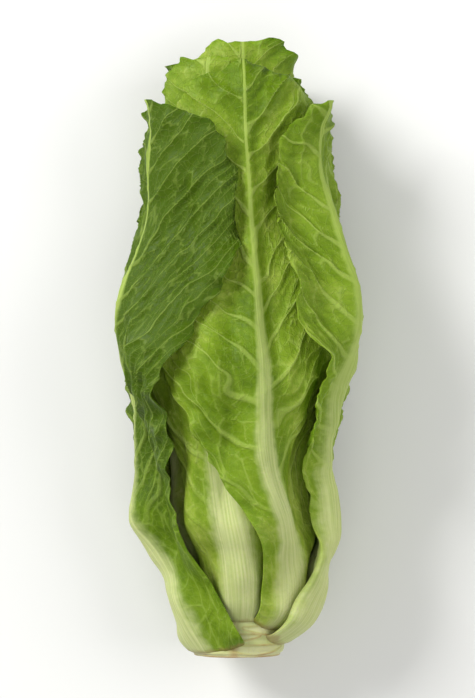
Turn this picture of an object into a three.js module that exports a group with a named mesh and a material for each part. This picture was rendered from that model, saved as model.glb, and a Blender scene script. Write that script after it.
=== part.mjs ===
// A romaine heart: the tight inner leaves of a cos lettuce on their short cut stem,
// lying on its back with the cut end towards -Y and the leaf tips towards +Y.
//
// Every leaf is a thin curved sheet with a thick midrib. Seen along the stem, the leaves
// are packed like the layers of a bud: each one lies on what is inside it, so a rib further
// in pushes the leaves over it outwards. That packing is worked out as a radius over
// (angle, distance from the cut end), which keeps the leaves clear of each other.
// All sizes are in millimetres and all angles in radians, unless a name says degrees.
import * as THREE from "three";

const { degToRad, lerp, smoothstep, clamp } = THREE.MathUtils;

// Driving dimensions of the whole heart.
const LEAF_COUNT = 18;
const HEART_LENGTH = 232; // cut end to the highest leaf tip
const CUT_RADIUS = 15.5; // the stem where it was cut
const STEM_HEIGHT = 70; // the stem goes this far up inside the heart
const SPIRAL_STEP = degToRad(137.5); // from one leaf to the next, round the stem
const FIRST_START = 1.2; // the outermost leaf leaves the stem this far above the cut
const START_STEP = 3.0; // each leaf further in grows this much higher on the stem

// Cross-section of the lying heart: wider than it is high, and flattened underneath.
const WIDTH_FACTOR = 1.06;
const HEIGHT_FACTOR = 0.9;
const FLAT_SHARE = 0.86; // how far below the axis the underside is, as a share of the radius
const FLAT_SHARPNESS = 8;
const PRESSED_DEPTH = 2.4; // what is this near to the surface on the lowest leaf is pressed flat on it

// Leaf sheet.
const BLADE_THICKNESS = 0.8;
const CLEARANCE = 0.5; // least air between a leaf and the next
const WIDEST_AT = 0.66; // share of the leaf's length where it is widest
const WIDENING_FROM = 0.14; // share of the length where the clasping foot starts to widen
const TIP_ROUNDNESS = 1.9; // superellipse exponent of the leaf's upper part
const SIDE_FALL = 12; // a leaf's edge lifts what lies over it for this much further
const TIP_FALL = 26; // and this much beyond its tip
const COVER_EDGES = [5, 14]; // an edge starts to wave, and waves freely, this far clear of the leaf over it
const LOBE_SHARE = 0.09; // how much a blade's edge swings in and out, as a share of its width
const LOBE_SWINGS = 1.9; // swings along the leaf's length
const RIB_THICKNESS = [6.6, 1.9]; // what the midrib adds to the blade, outermost and innermost leaf
const RIB_HALF_WIDTH = [15, 5.5];
const INNER_WRAP = 0.38; // share of the outline's radius round which the innermost leaf is wrapped
const WAVE_LENGTH = 34; // from one wave of a free edge to the next
const WAVE_FROM = 0.4; // share of the half width where an edge starts to wave
const TIP_WAVE_FROM = 0.84; // and share of the way up where the round tip does
const TIP_WAVES = 5.5; // how fast the tip's waves turn from its left edge to its right one
const FOOT_RISE = 2.4; // the foot's two ends sit this much higher on the stem than its middle
const UNEVENNESS = 1.1; // slow bumps that the whole packing shares

// The seven outer leaves, from the outermost in, placed as on the heart that was
// photographed. Angles are in degrees from straight up, positive to the right.
// turn: the midrib's angle at the stem, above the lower third and at the tip.
// left and right: the blade's half width on each side of the midrib.
// clasp: the half widths of the foot round the stem, to the left and to the right.
// lobe: where along the blade its edge swings out, as a share of one swing.
const OUTER_LEAVES = [
  { turn: [-60, -86, -53], tip: 207, left: 38, right: 46, clasp: [34, 26], wave: 4.5, lobe: 0.75 },
  { turn: [64, 68, 52], tip: 209, left: 24, right: 44, clasp: [10, 30], wave: 4.0, lobe: 0.2 },
  { turn: [184, 180, 180], tip: 206, left: 48, right: 48, clasp: [31, 33], wave: 3.0, lobe: 0.4 },
  { turn: [50, 14, 5], tip: 222, left: 44, right: 44, clasp: [12, 26], wave: 3.5, lobe: 0.85 },
  { turn: [4, -12, -26], tip: 226, left: 40, right: 44, clasp: [19, 26], wave: 3.5, lobe: 0.1 },
  { turn: [128, 136, 136], tip: 221, left: 46, right: 46, clasp: [32, 26], wave: 3.5, lobe: 0.5 },
  { turn: [-126, -130, -122], tip: 224, left: 46, right: 48, clasp: [26, 32], wave: 3.5, lobe: 0.3 },
];
const RESTING_RANK = 2; // the leaf that the heart lies on
const MIDDLE_LEAVES = 6; // the next ones in are the middle leaves, and the rest are the inner ones

// The rest follow the spiral, shorter and narrower towards the middle.
const INNER_TIP = [HEART_LENGTH, 112]; // first and last leaf further in
const INNER_HALF_WIDTH = [47, 19];
const INNER_WAVE = [3.2, 1.0];
const INNER_CLASP = 2; // half width of the foot, as a multiple of the midrib's
const INNER_LOBE_STEP = 0.382; // from one leaf's lobe place to the next one's

function leafAt(rank) {
  const depth = rank / (LEAF_COUNT - 1); // 0 outermost, 1 in the middle
  const start = FIRST_START + rank * START_STEP;
  const rib = { thickness: lerp(...RIB_THICKNESS, depth), halfWidth: lerp(...RIB_HALF_WIDTH, depth) };
  const outer = OUTER_LEAVES[rank];
  if (outer) {
    const [foot, aloft, crown] = outer.turn.map(degToRad);
    return { ...outer, rank, depth, start, rib, foot, aloft, crown };
  }
  const further = rank - OUTER_LEAVES.length;
  const share = further / (LEAF_COUNT - OUTER_LEAVES.length - 1);
  const turned = degToRad(OUTER_LEAVES.at(-1).turn[1]) + (further + 1) * SPIRAL_STEP;
  const halfWidth = lerp(...INNER_HALF_WIDTH, share);
  return {
    rank,
    depth,
    start,
    rib,
    foot: turned,
    aloft: turned,
    crown: turned,
    clasp: [rib.halfWidth * INNER_CLASP, rib.halfWidth * INNER_CLASP],
    lobe: (rank * INNER_LOBE_STEP) % 1,
    tip: lerp(...INNER_TIP, share ** 1.15),
    left: halfWidth,
    right: halfWidth,
    wave: lerp(...INNER_WAVE, share),
  };
}

const LEAVES = Array.from({ length: LEAF_COUNT }, (_, rank) => leafAt(rank));

// A smooth curve through (x, y) pairs that are in order of x, flat beyond its ends.
function through(points) {
  return (x) => {
    const next = points.findIndex(([px]) => px > x);
    if (next === 0) return points[0][1];
    if (next < 0) return points.at(-1)[1];
    const slope = (i) => {
      const [before, after] = [points[Math.max(i - 1, 0)], points[Math.min(i + 1, points.length - 1)]];
      return (after[1] - before[1]) / (after[0] - before[0]);
    };
    const [[x0, y0], [x1, y1]] = [points[next - 1], points[next]];
    const span = x1 - x0;
    const t = (x - x0) / span;
    const [t2, t3] = [t * t, t * t * t];
    return (
      (2 * t3 - 3 * t2 + 1) * y0 +
      (t3 - 2 * t2 + t) * span * slope(next - 1) +
      (3 * t2 - 2 * t3) * y1 +
      (t3 - t2) * span * slope(next)
    );
  };
}

// The stem's radius, then the hollow in the middle of the heart above it.
const STEM_PROFILE = [[0, CUT_RADIUS], [10, 15], [25, 12], [45, 7.5], [60, 4.6]];
const stemRadius = through([...STEM_PROFILE, [STEM_HEIGHT, 3]]);
const innerRadius = through([...STEM_PROFILE, [75, 4], [120, 7], [180, 11], [232, 14]]);
// The heart's own outline, used to turn a width on a leaf into an angle.
const outlineRadius = through([
  [0, 19], [20, 28], [50, 38], [80, 42], [140, 42], [180, 39], [210, 30], [232, 20],
]);
// Air left between neighbouring leaves, wider where the blades are loose.
const airGap = through([
  [0, 0.9], [15, 1.5], [35, 2.4], [60, 4.4], [100, 4.2], [150, 3.2], [190, 3.3], [232, 3.2],
]);
// Height of the heart's axis above the surface that it lies on.
const axisHeight = through([
  [0, 25], [35, 26.6], [60, 29.8], [85, 31.6], [110, 33.4], [135, 30.6], [155, 26.6], [185, 25.4], [232, 25],
]);

// How far along a leaf a place is, 0 at its foot and 1 at its tip.
const along = (leaf, y) => (y - leaf.start) / (leaf.tip - leaf.start);

function midribAngle(leaf, y) {
  const v = along(leaf, y);
  return lerp(lerp(leaf.foot, leaf.aloft, smoothstep(v, 0, 0.35)), leaf.crown, smoothstep(v, 0.4, 1));
}

// Radius at which a leaf's width is wrapped round the heart.
const wrapRadius = (leaf, y) => outlineRadius(y) * lerp(1, INNER_WRAP, leaf.depth);

// The blade's greatest half width on one side, which swings in and out along the leaf.
function widestAt(leaf, side, v) {
  const swing = Math.sin(2 * Math.PI * (LOBE_SWINGS * v + leaf.lobe + (side < 0 ? 0.4 : 0)));
  return (side < 0 ? leaf.left : leaf.right) * (1 + LOBE_SHARE * swing);
}

// Half width of the blade on one side: a clasping foot, a wing that widens, a round tip.
function halfWidth(leaf, side, v) {
  const widest = widestAt(leaf, side, v);
  if (v < WIDEST_AT) {
    const foot = Math.min(leaf.clasp[side < 0 ? 0 : 1], widest);
    return lerp(foot, widest, smoothstep(v, WIDENING_FROM, WIDEST_AT));
  }
  const over = clamp((v - WIDEST_AT) / (1 - WIDEST_AT), 0, 1);
  return widest * (1 - over ** TIP_ROUNDNESS) ** (1 / TIP_ROUNDNESS);
}

// Distance outside a leaf's outline, 0 inside it. s is the width from the midrib.
function outside(leaf, s, v) {
  const length = leaf.tip - leaf.start;
  const side = Math.sign(s) || 1;
  if (v <= WIDEST_AT) {
    const sideways = Math.max(Math.abs(s) - halfWidth(leaf, side, Math.max(v, 0)), 0);
    return Math.hypot(sideways, Math.max(-v * length, 0));
  }
  const widest = widestAt(leaf, side, v);
  const over = (v - WIDEST_AT) / (1 - WIDEST_AT);
  const ellipse = over ** TIP_ROUNDNESS + (Math.abs(s) / widest) ** TIP_ROUNDNESS;
  if (ellipse <= 1) return 0;
  const fromMiddle = Math.hypot(s, (v - WIDEST_AT) * length);
  return fromMiddle * (1 - ellipse ** (-1 / TIP_ROUNDNESS));
}

const widthFrom = (leaf, angle, y) => {
  const turn = angle - midribAngle(leaf, y);
  return Math.atan2(Math.sin(turn), Math.cos(turn)) * wrapRadius(leaf, y);
};

// Thickness of the leaf: a midrib that is thick and wide at the foot, and a thin blade.
const ribThickness = through([
  [0, 0.45], [0.05, 0.85], [0.12, 1], [0.3, 0.68], [0.55, 0.36], [0.8, 0.15], [1, 0.05],
]);
const ribWidth = through([[0, 1.15], [0.08, 1.05], [0.2, 0.82], [0.4, 0.55], [0.7, 0.32], [1, 0.2]]);

function thickness(leaf, s, v) {
  const reach = leaf.rib.halfWidth * ribWidth(v);
  const across = Math.min(Math.abs(s) / reach, 1);
  return BLADE_THICKNESS + leaf.rib.thickness * ribThickness(v) * Math.cos((Math.PI / 2) * across) ** 1.4;
}

// Room that a leaf takes up at a place, for the leaves that lie over it.
function roomFor(leaf, angle, y) {
  const s = widthFrom(leaf, angle, y);
  const v = along(leaf, y);
  const fall = lerp(SIDE_FALL, TIP_FALL, smoothstep(v, 0.7, 1));
  const held = 1 - smoothstep(outside(leaf, s, v), 0, fall);
  return held && held * (thickness(leaf, s, clamp(v, 0, 1)) + airGap(y));
}

// The shared bumps, three round the heart, which turn and swell along it.
function uneven(angle, y) {
  const swell = UNEVENNESS * smoothstep(y, 50, 110);
  return swell * Math.sin(3 * angle + y / 26) * Math.sin(y / 19 + 1);
}

// Radius of the bed that a leaf lies on.
function bedRadius(leaf, angle, y) {
  let radius = innerRadius(y) + CLEARANCE + uneven(angle, y);
  for (const under of LEAVES.slice(leaf.rank + 1)) radius += roomFor(under, angle, y);
  return radius;
}

// 1 where nothing lies over the leaf, 0 where a leaf covers it.
function uncovered(leaf, angle, y) {
  let free = 1;
  for (const over of LEAVES.slice(0, leaf.rank)) {
    free *= smoothstep(outside(over, widthFrom(over, angle, y), along(over, y)), ...COVER_EDGES);
  }
  return free;
}

// How far a free edge waves out from the bed. v is how far up the leaf's grid a place is,
// 1 all round its tip.
function waveOut(leaf, u, v, y, angle) {
  const tip = smoothstep(v, TIP_WAVE_FROM, 1);
  const edge = Math.max(smoothstep(Math.abs(u), WAVE_FROM, 1) ** 1.5, tip);
  if (!edge) return 0;
  const waveLength = WAVE_LENGTH + 3 * Math.sin(leaf.rank);
  const beside = Math.sin((2 * Math.PI * y) / waveLength + 2.4 * leaf.rank + Math.sign(u));
  const above = Math.sin(TIP_WAVES * u + 2.4 * leaf.rank);
  return uncovered(leaf, angle, y) * leaf.wave * edge * (0.55 + 0.45 * lerp(beside, above, tip));
}

// From the packing's (radius, angle, distance from the cut end) to the lying heart.
function lying(radius, angle, y) {
  const down = Math.max(-Math.cos(angle), 0) / FLAT_SHARE;
  const pressed = radius * (1 + down ** FLAT_SHARPNESS) ** (-1 / FLAT_SHARPNESS);
  return new THREE.Vector3(
    pressed * Math.sin(angle) * WIDTH_FACTOR,
    y,
    axisHeight(y) + pressed * Math.cos(angle) * HEIGHT_FACTOR,
  );
}

// A closed sheet over a grid: pointAt(column, row, face) gives face 0, inside, and 1, outside.
// Both faces are split into triangles along the same diagonals, so they never cross.
function sheetGeometry(columns, rows, pointAt) {
  const positions = [];
  const index = [];
  const perFace = (columns + 1) * (rows + 1);
  for (const face of [0, 1]) {
    for (let row = 0; row <= rows; row++) {
      for (let column = 0; column <= columns; column++) {
        positions.push(...pointAt(column, row, face).toArray());
      }
    }
  }
  const vertex = (column, row, face) => face * perFace + row * (columns + 1) + column;
  const quad = (a, b, c, d) => index.push(a, b, c, a, c, d);
  for (let row = 0; row < rows; row++) {
    for (let column = 0; column < columns; column++) {
      const corner = (face) => [
        vertex(column, row, face),
        vertex(column + 1, row, face),
        vertex(column + 1, row + 1, face),
        vertex(column, row + 1, face),
      ];
      const [a, b, c, d] = corner(0);
      quad(...corner(1));
      index.push(a, c, b, a, d, c);
    }
  }
  const rim = [];
  for (let column = 0; column < columns; column++) rim.push([column, 0]);
  for (let row = 0; row < rows; row++) rim.push([columns, row]);
  for (let column = columns; column > 0; column--) rim.push([column, rows]);
  for (let row = rows; row > 0; row--) rim.push([0, row]);
  rim.forEach(([column, row], i) => {
    const [nextColumn, nextRow] = rim[(i + 1) % rim.length];
    quad(
      vertex(column, row, 0),
      vertex(nextColumn, nextRow, 0),
      vertex(nextColumn, nextRow, 1),
      vertex(column, row, 1),
    );
  });
  const geometry = new THREE.BufferGeometry();
  geometry.setAttribute("position", new THREE.Float32BufferAttribute(positions, 3));
  geometry.setIndex(index);
  geometry.computeVertexNormals();
  return geometry;
}

// Where a leaf's grid has its columns, closer together by the midrib, and its rows.
const COLUMN_PLACES = {
  outer: [-1, -0.8, -0.58, -0.37, -0.2, -0.08, 0, 0.08, 0.2, 0.37, 0.58, 0.8, 1],
  middle: [-1, -0.8, -0.6, -0.4, -0.22, -0.08, 0, 0.08, 0.22, 0.4, 0.6, 0.8, 1],
  inner: [-1, -0.7, -0.38, -0.14, 0, 0.14, 0.38, 0.7, 1],
};
const ROW_COUNTS = { outer: 20, middle: 15, inner: 11 };
const FOOT_ROWS = 2; // rows over which the foot comes off the stem
const FOOT_HEIGHT = 2.4;
const FOOT_RISE_TO = 0.12; // share of the length above which the foot's rise has faded out
const STEM_CLEARANCE = 0.35;
const TIP_BOW = 0.2; // the rows bow up towards the tip by up to this share of the length

function leafGeometry(leaf, ring) {
  const places = COLUMN_PLACES[ring];
  const rows = ROW_COUNTS[ring];
  const length = leaf.tip - leaf.start;
  const shoulder = 1 - TIP_BOW;
  const rowPlace = (row) => {
    const footShare = FOOT_HEIGHT / length;
    if (row <= FOOT_ROWS) return (footShare * row) / FOOT_ROWS;
    const t = (row - FOOT_ROWS) / (rows - FOOT_ROWS);
    return footShare + (1 - footShare) * t ** 1.18;
  };
  // The top row follows the round tip, and the bow fades out down the leaf.
  const topPlace = (u, side) => {
    const share = (Math.abs(u) * halfWidth(leaf, side, shoulder)) / widestAt(leaf, side, shoulder);
    return WIDEST_AT + (1 - WIDEST_AT) * (1 - share ** TIP_ROUNDNESS) ** (1 / TIP_ROUNDNESS);
  };
  return sheetGeometry(places.length - 1, rows, (column, row, face) => {
    const u = places[column];
    const side = Math.sign(u) || 1;
    const v = rowPlace(row);
    const bow = v ** 3;
    const place = v - (1 - topPlace(u, side)) * bow;
    const s = u * halfWidth(leaf, side, v - TIP_BOW * bow);
    const y = leaf.start + place * length + FOOT_RISE * u * u * (1 - smoothstep(v, 0, FOOT_RISE_TO));
    const angle = midribAngle(leaf, y) + s / wrapRadius(leaf, y);
    const bed = bedRadius(leaf, angle, y) + waveOut(leaf, u, v, y, angle);
    if (face === 1) {
      const point = lying(bed + thickness(leaf, s, place), angle, y);
      if (leaf.rank === RESTING_RANK && point.z < PRESSED_DEPTH) point.z = 0;
      return point;
    }
    return lying(row === 0 ? stemRadius(y) + STEM_CLEARANCE : bed, angle, y);
  });
}

const COLOURS = { outer: 0x6f9424, middle: 0x8fae3a, inner: 0xc3cf6a, stem: 0xdfe3bd };

function ringOf(leaf) {
  if (leaf.rank < OUTER_LEAVES.length) return "outer";
  return leaf.rank < OUTER_LEAVES.length + MIDDLE_LEAVES ? "middle" : "inner";
}

function leafMesh(leaf) {
  const ring = ringOf(leaf);
  const material = new THREE.MeshStandardMaterial({ color: COLOURS[ring], roughness: 0.5, metalness: 0 });
  const mesh = new THREE.Mesh(leafGeometry(leaf, ring), material);
  mesh.name = `${ring}_leaf_${String(leaf.rank + 1).padStart(2, "0")}`;
  return mesh;
}

// The stem: a round cone with a flat cut end, closed at the top.
const CUT_CHAMFER = 0.8;
const STEM_SIDES = 28;
const STEM_STEPS = [CUT_CHAMFER, 3, 7, 12, 18, 25, 33, 41, 49, 57, 64];

function stemMesh() {
  const profile = [new THREE.Vector2(0, 0), new THREE.Vector2(CUT_RADIUS - CUT_CHAMFER, 0)];
  for (const y of STEM_STEPS) profile.push(new THREE.Vector2(stemRadius(y), y));
  profile.push(new THREE.Vector2(0, STEM_HEIGHT));
  const geometry = new THREE.LatheGeometry(profile, STEM_SIDES);
  const position = geometry.getAttribute("position");
  for (let i = 0; i < position.count; i++) {
    const [x, y, z] = [position.getX(i), position.getY(i), position.getZ(i)];
    position.setXYZ(i, ...lying(Math.hypot(x, z), Math.atan2(x, z), y).toArray());
  }
  const material = new THREE.MeshStandardMaterial({ color: COLOURS.stem, roughness: 0.6, metalness: 0 });
  const mesh = new THREE.Mesh(geometry, material);
  mesh.name = "cut_stem";
  return mesh;
}

const heart = new THREE.Group();
heart.add(stemMesh(), ...LEAVES.map(leafMesh));

// The origin is below the middle of the heart, on the surface that it lies on.
const extent = new THREE.Box3().setFromObject(heart);
const middle = extent.getCenter(new THREE.Vector3());
heart.position.set(-middle.x, -middle.y, -extent.min.z);

export default heart;
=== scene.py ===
# %% [markdown]
# # A romaine heart
# The heart of a cos lettuce lies on its back, with its cut end towards -Y and its leaf tips towards +Y.
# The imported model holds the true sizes: a short cut stem and a plain solid for each leaf. This lesson
# keeps every leaf where it is and gives it what a leaf has: a ribbed underside, side veins, puckers
# between them, a frilled edge and a skin that goes from cream to dark green.

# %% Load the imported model
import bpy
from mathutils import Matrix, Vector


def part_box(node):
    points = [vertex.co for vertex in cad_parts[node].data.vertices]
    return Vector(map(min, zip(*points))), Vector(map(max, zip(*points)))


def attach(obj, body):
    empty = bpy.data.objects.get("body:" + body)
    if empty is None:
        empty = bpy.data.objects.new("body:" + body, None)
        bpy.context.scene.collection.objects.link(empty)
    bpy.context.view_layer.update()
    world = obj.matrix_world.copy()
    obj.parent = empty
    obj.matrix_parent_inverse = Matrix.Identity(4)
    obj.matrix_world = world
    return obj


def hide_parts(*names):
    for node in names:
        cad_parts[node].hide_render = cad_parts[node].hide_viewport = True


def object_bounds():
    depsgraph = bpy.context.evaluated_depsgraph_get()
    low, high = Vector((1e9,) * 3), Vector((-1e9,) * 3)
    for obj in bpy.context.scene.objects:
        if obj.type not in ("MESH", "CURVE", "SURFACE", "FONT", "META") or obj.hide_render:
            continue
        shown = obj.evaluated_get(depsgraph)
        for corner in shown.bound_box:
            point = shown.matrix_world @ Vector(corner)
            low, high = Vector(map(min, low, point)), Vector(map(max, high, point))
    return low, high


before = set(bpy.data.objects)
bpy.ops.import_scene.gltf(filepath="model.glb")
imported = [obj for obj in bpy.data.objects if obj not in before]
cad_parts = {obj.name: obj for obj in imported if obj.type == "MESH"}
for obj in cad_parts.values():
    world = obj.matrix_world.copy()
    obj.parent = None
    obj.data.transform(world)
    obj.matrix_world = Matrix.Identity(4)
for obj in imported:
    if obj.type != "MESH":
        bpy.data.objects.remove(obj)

from types import SimpleNamespace

import bpy
import numpy as np
from mathutils import Vector

solid_box = [list(corner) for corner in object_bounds()]
print("the packed heart reaches from", solid_box[0], "to", solid_box[1])

# %% [markdown]
# ## Camera
# The heart was photographed straight on with its tips up. Here it lies down, so the camera hangs above
# it and looks straight down. A long lens from 1.25 m away keeps the perspective as mild as in the
# photograph. The lens is worked out from the length of view that the picture has to hold.

# %% Hang the camera over the heart
IMAGE_SIZE = (475, 698)  # pixels, width and height
CAMERA_DISTANCE = 1.25  # metres, above the middle of the heart
VIEW_LENGTH = 0.262  # what the picture's height covers at that distance
SENSOR_HEIGHT = 36.0  # millimetres


def hang_camera():
    heart_middle = (Vector(solid_box[0]) + Vector(solid_box[1])) / 2
    bpy.ops.object.camera_add(location=heart_middle + Vector((0, 0, CAMERA_DISTANCE)), rotation=(0, 0, 0))
    camera = bpy.context.object
    camera.data.sensor_fit = "VERTICAL"
    camera.data.sensor_height = SENSOR_HEIGHT
    camera.data.lens = SENSOR_HEIGHT * CAMERA_DISTANCE / VIEW_LENGTH
    bpy.context.scene.camera = camera
    return camera


camera = hang_camera()
view_width = VIEW_LENGTH * IMAGE_SIZE[0] / IMAGE_SIZE[1]
print(f"the view is {view_width * 1000:.0f} by {VIEW_LENGTH * 1000:.0f} mm")
print(f"the lens is {camera.data.lens:.0f} mm long")

# %% [markdown]
# ## Floor and light
# A leaf's relief shows best when the light comes from one side, so a large soft lamp stands at the upper
# left and a weaker one fills from the right. Area lamps of half a metre and more give the soft shadows of
# a studio tent. The floor is a plain pale sheet, which isn't part of the heart.

# %% Lay the floor and set the lamps
FLOOR_SIZE = 6.0
PAPER_WHITE, PAPER_ROUGHNESS = (0.82, 0.82, 0.8, 1), 0.9
ROOM_WHITE, ROOM_STRENGTH = (1.0, 1.0, 1.0, 1), 0.4
LAMP_TARGET = Vector((0, 0, 0.03))  # inside the heart, below its middle
LAMPS = {  # name: place, side length in metres, power in watts
    "key_lamp": ((-0.85, 0.6, 0.8), 0.5, 16.5),
    "fill_lamp": ((0.9, 0.1, 0.8), 0.8, 5.0),
    "top_lamp": ((0.05, -0.5, 1.3), 0.9, 3.0),
}


def lay_floor():
    bpy.ops.object.select_all(action="DESELECT")
    bpy.ops.mesh.primitive_plane_add(size=FLOOR_SIZE)
    floor = bpy.context.object
    floor.name = "floor"
    paper = bpy.data.materials.new("pale_paper")
    paper.use_nodes = True
    shader = paper.node_tree.nodes["Principled BSDF"]
    shader.inputs["Base Color"].default_value = PAPER_WHITE
    shader.inputs["Roughness"].default_value = PAPER_ROUGHNESS
    floor.data.materials.append(paper)


def set_lamp(name, place, side, power):
    bpy.ops.object.light_add(type="AREA", location=place)
    lamp = bpy.context.object
    lamp.name = name
    lamp.data.size = side
    lamp.data.energy = power
    aim = LAMP_TARGET - Vector(place)
    lamp.rotation_euler = aim.to_track_quat("-Z", "Y").to_euler()


def light_the_room():
    for name, (place, side, power) in LAMPS.items():
        set_lamp(name, place, side, power)
    room = bpy.data.worlds.new("soft_room")
    room.use_nodes = True
    background = room.node_tree.nodes["Background"]
    background.inputs["Color"].default_value = ROOM_WHITE
    background.inputs["Strength"].default_value = ROOM_STRENGTH
    bpy.context.scene.world = room
    bpy.context.scene.view_settings.view_transform = "Standard"


lay_floor()
light_the_room()
print(f"{len(LAMPS)} lamps and a floor of {FLOOR_SIZE:.0f} m")

# %% [markdown]
# ## How the leaves are packed
# Seen along the stem, a heart is packed like a bud: each leaf lies on what is inside it, and a rib further
# in pushes the leaves over it outwards. The solids were made by that rule, so the fine leaves follow it
# too, with the same sizes. A place in the packing is a radius, an angle from straight up and a distance
# from the cut end. Sizes are in millimetres here, and MM turns them into Blender's metres at the end.

# %% Curves and steps
MM = 0.001


def through(points):
    """A smooth curve through (x, y) pairs, flat beyond its ends."""
    xs, ys = np.array(points, float).T
    before, after = np.r_[0, : len(xs) - 1], np.r_[1 : len(xs), len(xs) - 1]
    slopes = (ys[after] - ys[before]) / (xs[after] - xs[before])

    def curve(x):
        i = np.clip(np.searchsorted(xs, x, side="right") - 1, 0, len(xs) - 2)
        span = xs[i + 1] - xs[i]
        t = np.clip((x - xs[i]) / span, 0, 1)
        rise = t * t * (3 - 2 * t)
        leave, arrive = t * (1 - t) ** 2, t * t * (t - 1)
        return (1 - rise) * ys[i] + rise * ys[i + 1] + span * (leave * slopes[i] + arrive * slopes[i + 1])

    return curve


def blend(first, second, share):
    return first + (second - first) * share


def smooth_step(x, low, high):
    t = np.clip((x - low) / (high - low), 0, 1)
    return t * t * (3 - 2 * t)


def turned_by(turn):
    """The same turn, between minus and plus half a circle."""
    return np.arctan2(np.sin(turn), np.cos(turn))


print("half way from 2 to 6 is", blend(2, 6, smooth_step(0.5, 0, 1)))

# %% [markdown]
# The table below is the heart's plan. Each of the seven outer leaves has a midrib angle at its foot, a bit
# further up and at its crown, because the leaves lean and twist as they wrap each other. tip is how far
# from the cut end it reaches, left and right are half widths of its blade and clasp of its foot, wave is
# how far its margin waves, and lobe moves the swellings of its outline. The rest follow the spiral that
# lettuces grow by, 137.5 degrees from one leaf to the next. Two columns are for the finish alone. green is
# how green a leaf is: the outer ones saw the sun, and the inner ones grew in the dark. pale is how much of
# its thick midrib looks pale.

# %% The leaves' plan
LEAF_COUNT = 18
SPIRAL_STEP = np.radians(137.5)
FIRST_START, START_STEP = 1.2, 3.0
RIB_THICKNESS, RIB_HALF_WIDTH = (6.6, 1.9), (15, 5.5)  # outermost and innermost leaf
OUTER_LEAVES = [
    dict(turn=(-60, -86, -53), tip=207, left=38, right=46, clasp=(34, 26), wave=4.5, lobe=0.75,
         green=1.15, pale=0.8),
    dict(turn=(64, 68, 52), tip=209, left=24, right=44, clasp=(10, 30), wave=4.0, lobe=0.2,
         green=0.58, pale=1.1),
    dict(turn=(184, 180, 180), tip=206, left=48, right=48, clasp=(31, 33), wave=3.0, lobe=0.4,
         green=0.65, pale=1),
    dict(turn=(50, 14, 5), tip=222, left=44, right=44, clasp=(12, 26), wave=3.5, lobe=0.85,
         green=0.75, pale=0.6),
    dict(turn=(4, -12, -26), tip=226, left=40, right=44, clasp=(19, 26), wave=3.5, lobe=0.1,
         green=0.82, pale=0.85),
    dict(turn=(128, 136, 136), tip=221, left=46, right=46, clasp=(32, 26), wave=3.5, lobe=0.5,
         green=0.7, pale=1),
    dict(turn=(-126, -130, -122), tip=224, left=46, right=48, clasp=(26, 32), wave=3.5, lobe=0.3,
         green=0.85, pale=1),
]
MIDDLE_LEAVES = 6  # the rest are inner leaves
INNER_TIP, INNER_TIP_POWER = (232, 112), 1.15  # from the first leaf after the outer ones to the innermost
INNER_HALF_WIDTH, INNER_WAVE, INNER_GREEN = (47, 19), (3.2, 1.0), (0.7, 0.05)
INNER_CLASP = 2  # in half widths of the midrib
INNER_LOBE_STEP = 0.382


def inner_plan(rank, rib_half_width):
    further = rank - len(OUTER_LEAVES)
    share = further / (LEAF_COUNT - len(OUTER_LEAVES) - 1)
    turned = OUTER_LEAVES[-1]["turn"][1] + np.degrees((further + 1) * SPIRAL_STEP)
    half_width = blend(*INNER_HALF_WIDTH, share)
    clasp = rib_half_width * INNER_CLASP
    return dict(turn=(turned, turned, turned), tip=blend(*INNER_TIP, share**INNER_TIP_POWER),
                left=half_width, right=half_width, clasp=(clasp, clasp), wave=blend(*INNER_WAVE, share),
                lobe=rank * INNER_LOBE_STEP % 1, green=blend(*INNER_GREEN, share), pale=1)


def plan_leaf(rank):
    depth = rank / (LEAF_COUNT - 1)  # 0 outermost, 1 in the middle
    rib_half_width = blend(*RIB_HALF_WIDTH, depth)
    plan = OUTER_LEAVES[rank] if rank < len(OUTER_LEAVES) else inner_plan(rank, rib_half_width)
    start = FIRST_START + rank * START_STEP
    return SimpleNamespace(rank=rank, depth=depth, start=start, length=plan["tip"] - start,
                           rib_thickness=blend(*RIB_THICKNESS, depth), rib_half_width=rib_half_width,
                           turns=np.radians(plan["turn"]), **{k: v for k, v in plan.items() if k != "turn"})


leaves = [plan_leaf(rank) for rank in range(LEAF_COUNT)]
print(f"{len(leaves)} leaves, {leaves[0].length:.0f} to {leaves[-1].length:.0f} mm long")

# %% [markdown]
# A leaf's outline is a clasping foot, a wing that widens and a round tip, which is half of a superellipse.
# Every leaf further in needs to know how far a place is outside that outline, because a leaf's edge goes
# on lifting what lies over it for a little way.

# %% Outline of a leaf
FOOT_TURNS, CROWN_TURNS = (0, 0.35), (0.4, 1)  # the stretches of a leaf on which its midrib turns
WIDEST_AT, WIDENING_FROM, TIP_ROUNDNESS = 0.66, 0.14, 1.9
LOBE_SHARE, LOBE_SWINGS, LEFT_LOBE = 0.09, 1.9, 0.4  # the left side swells at other heights
INNER_WRAP = 0.38  # radius that the innermost leaf wraps round, as a share of the outline's
outline_radius = through([(0, 19), (20, 28), (50, 38), (80, 42), (140, 42), (180, 39), (210, 30), (232, 20)])


def along(leaf, y):
    return (y - leaf.start) / leaf.length


def midrib_angle(leaf, y):
    v = along(leaf, y)
    foot, aloft, crown = leaf.turns
    return blend(blend(foot, aloft, smooth_step(v, *FOOT_TURNS)), crown, smooth_step(v, *CROWN_TURNS))


def wrap_radius(leaf, y):
    return outline_radius(y) * blend(1, INNER_WRAP, leaf.depth)


def widest_at(leaf, left, v):
    swing = np.sin(2 * np.pi * (LOBE_SWINGS * v + leaf.lobe + np.where(left, LEFT_LOBE, 0)))
    return np.where(left, leaf.left, leaf.right) * (1 + LOBE_SHARE * swing)


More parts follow.
